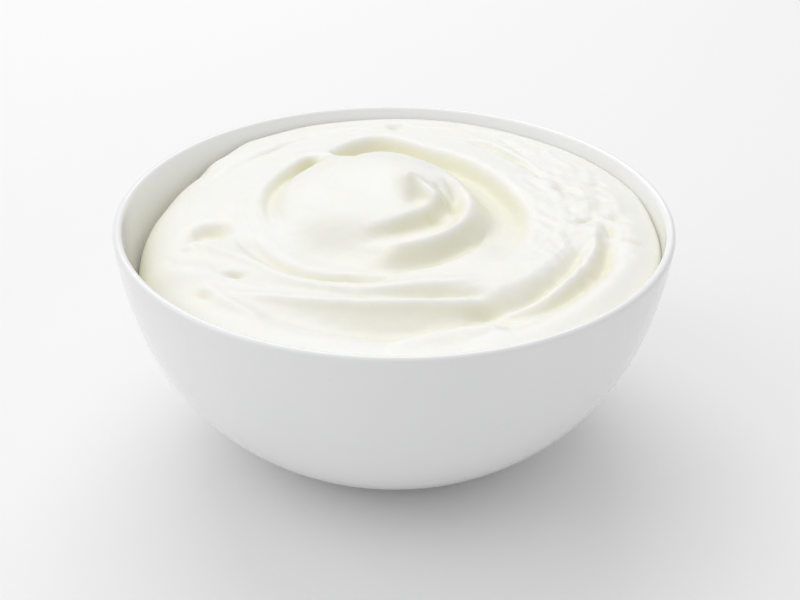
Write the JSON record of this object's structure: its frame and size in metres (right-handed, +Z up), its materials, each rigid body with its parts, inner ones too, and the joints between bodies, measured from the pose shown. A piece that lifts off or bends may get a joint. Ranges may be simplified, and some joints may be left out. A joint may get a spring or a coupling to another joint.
{
  "type": "bowl of yogurt",
  "caption": "Plain round ceramic bowl on a low foot ring, filled nearly to the lip with thick yogurt swirled by a spoon into a spiral with a small peak.",
  "frame": {"origin": "centre of the underside of the bowl's foot ring", "axes": "+Z up through the middle of the mouth, -Y towards the viewer's side of the swirl"},
  "size_m": [0.15, 0.15, 0.0745],
  "materials": {
    "glazed_ceramic": "smooth white glaze",
    "yogurt": "moist, softly glossy, warm white"
  },
  "bodies": {
    "root": {"bowl": "glazed_ceramic", "yogurt": "yogurt"}
  },
  "joints": []
}
